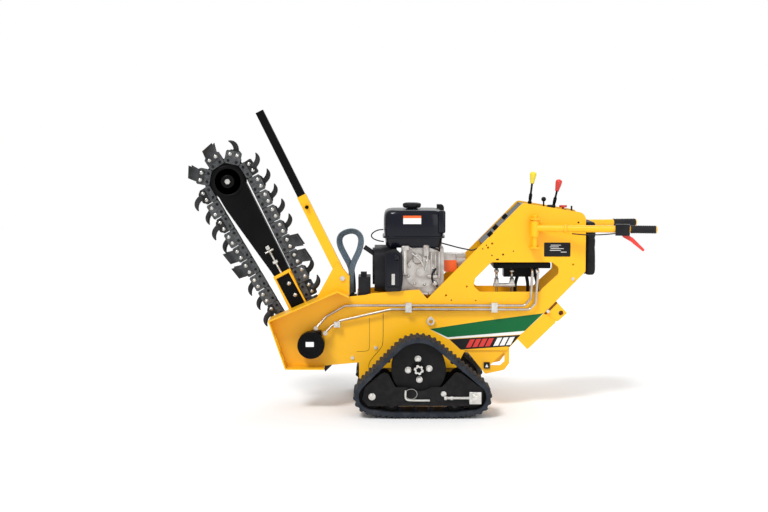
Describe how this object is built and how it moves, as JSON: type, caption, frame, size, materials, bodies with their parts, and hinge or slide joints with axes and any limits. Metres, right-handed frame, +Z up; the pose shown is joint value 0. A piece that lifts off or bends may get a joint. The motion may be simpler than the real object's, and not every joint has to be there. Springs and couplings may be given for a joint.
{
  "type": "walk-behind trencher",
  "caption": "Walk-behind tracked trencher with a raised digging chain boom, engine on deck, operator handles and console.",
  "frame": {"origin": "on the ground, midway between the tracks, under the middle of the machine's length, at the drive sprocket axis", "axes": "+X towards the operator's handles, +Z up, +Y to the far side of the machine as seen with the boom on the left"},
  "size_m": [2.2827, 0.918, 1.4661],
  "materials": {
    "yellow_paint": "semi-gloss yellow powder coat",
    "black_paint": "satin black paint",
    "chain_steel": "mill finish steel, speckled",
    "tooth_steel": "dark hard-faced steel",
    "zinc": "bright zinc plate",
    "tube_steel": "plated steel tube",
    "track_rubber": "dusty moulded rubber",
    "black_plastic": "moulded black plastic",
    "gloss_black": "gloss black enamel",
    "cast_alloy": "sand-cast alloy",
    "grip_rubber": "ribbed rubber",
    "red_plastic": "moulded red plastic",
    "knob_yellow": "moulded yellow knob on a plated stick",
    "knob_red": "moulded red knob on a plated stick",
    "sleeve_fabric": "woven hose sleeve",
    "panel_grey": "dark grey panel",
    "pad_foam": "black covered foam"
  },
  "bodies": {
    "chassis": {"near_side_plate": "yellow_paint", "far_side_plate": "yellow_paint", "deck_plates": "yellow_paint", "boom_mount": "yellow_paint", "motor_guard": "yellow_paint", "console_panels": "panel_grey", "rear_pad": "pad_foam", "rear_weight": "yellow_paint", "tie_downs": "yellow_paint", "trencher_motor": "black_paint", "track_frames": "black_paint", "track_belts": "track_rubber", "track_tensioners": "black_paint", "drive_motors": "black_paint", "engine_block": "cast_alloy", "fan_shroud": "black_plastic", "fuel_tank": "gloss_black", "air_cleaner": "black_plastic", "muffler": "tube_steel", "hydraulic_pump": "cast_alloy", "throttle_cable": "black_plastic", "hydraulic_tank": "black_paint", "hose_box": "black_plastic", "control_valve": "cast_alloy", "steel_tubes": "tube_steel", "hose_sleeve": "sleeve_fabric", "handle_mounts": "yellow_paint", "console_fittings": "black_plastic", "frame_bolts": "zinc"},
    "head": {"head_shaft": "black_paint", "auger": "black_paint"},
    "boom": {"boom_arm": "yellow_paint", "boom_bar": "black_paint", "tension_screw": "zinc", "chain_outer_plates": "chain_steel", "chain_inner_links": "chain_steel", "cup_teeth": "tooth_steel", "shovel_teeth": "tooth_steel", "tooth_bolts": "zinc"},
    "nose": {"nose_idler": "black_paint"},
    "restraint": {"restraint_post": "yellow_paint", "restraint_bar": "black_paint"},
    "near_handle": {"near_handlebar": "yellow_paint", "near_grip": "grip_rubber", "lever_block": "black_plastic"},
    "far_handle": {"far_handlebar": "yellow_paint", "far_grip": "grip_rubber"},
    "presence": {"presence_lever": "red_plastic"},
    "boom_stick": {"boom_lever": "knob_yellow"},
    "drive_stick": {"drive_lever": "knob_red"},
    "stop": {"stop_button": "red_plastic"},
    "cap": {"fuel_cap": "black_plastic"},
    "near_drive_wheel": {"near_sprocket": "black_paint"},
    "far_drive_wheel": {"far_sprocket": "black_paint"},
    "near_front_wheel": {"near_front_idler": "black_paint"},
    "far_front_wheel": {"far_front_idler": "black_paint"},
    "near_rear_wheel": {"near_rear_idler": "black_paint"},
    "far_rear_wheel": {"far_rear_idler": "black_paint"},
    "front_roller_pair": {"front_rollers": "black_paint"},
    "rear_roller_pair": {"rear_rollers": "black_paint"}
  },
  "joints": [
    {"name": "boom_lift", "type": "hinge", "parent": "chassis", "child": "boom", "pos_m": [-0.52, 0, 0.324], "axis": [0, -1, 0], "range_deg": [0, 122]},
    {"name": "head_spin", "type": "hinge", "parent": "chassis", "child": "head", "pos_m": [-0.52, 0, 0.324], "axis": [0, -1, 0], "continuous": true},
    {"name": "nose_spin", "type": "hinge", "parent": "boom", "child": "nose", "pos_m": [-0.93965, 0, 1.11225], "axis": [0, -1, 0], "continuous": true},
    {"name": "restraint_fold", "type": "hinge", "parent": "chassis", "child": "restraint", "pos_m": [-0.369, -0.108, 0.641], "axis": [0, -1, 0], "range_deg": [0, 62]},
    {"name": "near_handle_swing", "type": "hinge", "parent": "chassis", "child": "near_handle", "pos_m": [0.568, -0.195, 0.891], "axis": [0, 0, 1], "range_deg": [-35, 0]},
    {"name": "far_handle_swing", "type": "hinge", "parent": "chassis", "child": "far_handle", "pos_m": [0.568, 0.195, 0.891], "axis": [0, 0, 1], "range_deg": [0, 35]},
    {"name": "presence_squeeze", "type": "hinge", "parent": "near_handle", "child": "presence", "pos_m": [0.98421, -0.2759, 0.864], "axis": [-0.1908, -0.9816, 0], "range_deg": [0, 20], "stiffness_Nm_per_rad": 1.2, "springref_deg": -14.32},
    {"name": "boom_lever_tilt", "type": "hinge", "parent": "chassis", "child": "boom_stick", "pos_m": [0.559, -0.02, 1.00842], "axis": [0, 1, 0], "range_deg": [-10, 12], "stiffness_Nm_per_rad": 4},
    {"name": "drive_lever_tilt", "type": "hinge", "parent": "chassis", "child": "drive_stick", "pos_m": [0.683, 0.03, 0.98842], "axis": [0, 1, 0], "range_deg": [-12, 12], "stiffness_Nm_per_rad": 4},
    {"name": "stop_press", "type": "slide", "parent": "chassis", "child": "stop", "axis": [0, 0, -1], "range_m": [0, 0.005], "stiffness_N_per_m": 600, "springref_m": -0.003},
    {"name": "cap_turn", "type": "hinge", "parent": "chassis", "child": "cap", "pos_m": [-0.027, -0.04, 0.98], "axis": [0, 0, 1], "range_deg": [0, 90]},
    {"name": "near_sprocket_spin", "type": "hinge", "parent": "chassis", "child": "near_drive_wheel", "pos_m": [0, -0.355, 0.231], "axis": [0, -1, 0], "continuous": true},
    {"name": "near_front_idler_spin", "type": "hinge", "parent": "chassis", "child": "near_front_wheel", "pos_m": [-0.222, -0.355, 0.105], "axis": [0, -1, 0], "continuous": true},
    {"name": "near_rear_idler_spin", "type": "hinge", "parent": "chassis", "child": "near_rear_wheel", "pos_m": [0.258, -0.355, 0.102], "axis": [0, -1, 0], "continuous": true},
    {"name": "far_sprocket_spin", "type": "hinge", "parent": "chassis", "child": "far_drive_wheel", "pos_m": [0, 0.355, 0.231], "axis": [0, -1, 0], "continuous": true},
    {"name": "far_front_idler_spin", "type": "hinge", "parent": "chassis", "child": "far_front_wheel", "pos_m": [-0.222, 0.355, 0.105], "axis": [0, -1, 0], "continuous": true},
    {"name": "far_rear_idler_spin", "type": "hinge", "parent": "chassis", "child": "far_rear_wheel", "pos_m": [0.258, 0.355, 0.102], "axis": [0, -1, 0], "continuous": true},
    {"name": "front_rollers_spin", "type": "hinge", "parent": "chassis", "child": "front_roller_pair", "pos_m": [-0.13, 0, 0.064], "axis": [0, -1, 0], "continuous": true},
    {"name": "rear_rollers_spin", "type": "hinge", "parent": "chassis", "child": "rear_roller_pair", "pos_m": [0.17, 0, 0.064], "axis": [0, -1, 0], "continuous": true}
  ],
  "couplings": [
    {"joint": "nose_spin", "follows": "head_spin", "ratio": 0.65385},
    {"joint": "near_front_idler_spin", "follows": "near_sprocket_spin", "ratio": 2.1129},
    {"joint": "near_rear_idler_spin", "follows": "near_sprocket_spin", "ratio": 2.1129},
    {"joint": "far_front_idler_spin", "follows": "far_sprocket_spin", "ratio": 2.1129},
    {"joint": "far_rear_idler_spin", "follows": "far_sprocket_spin", "ratio": 2.1129}
  ]
}
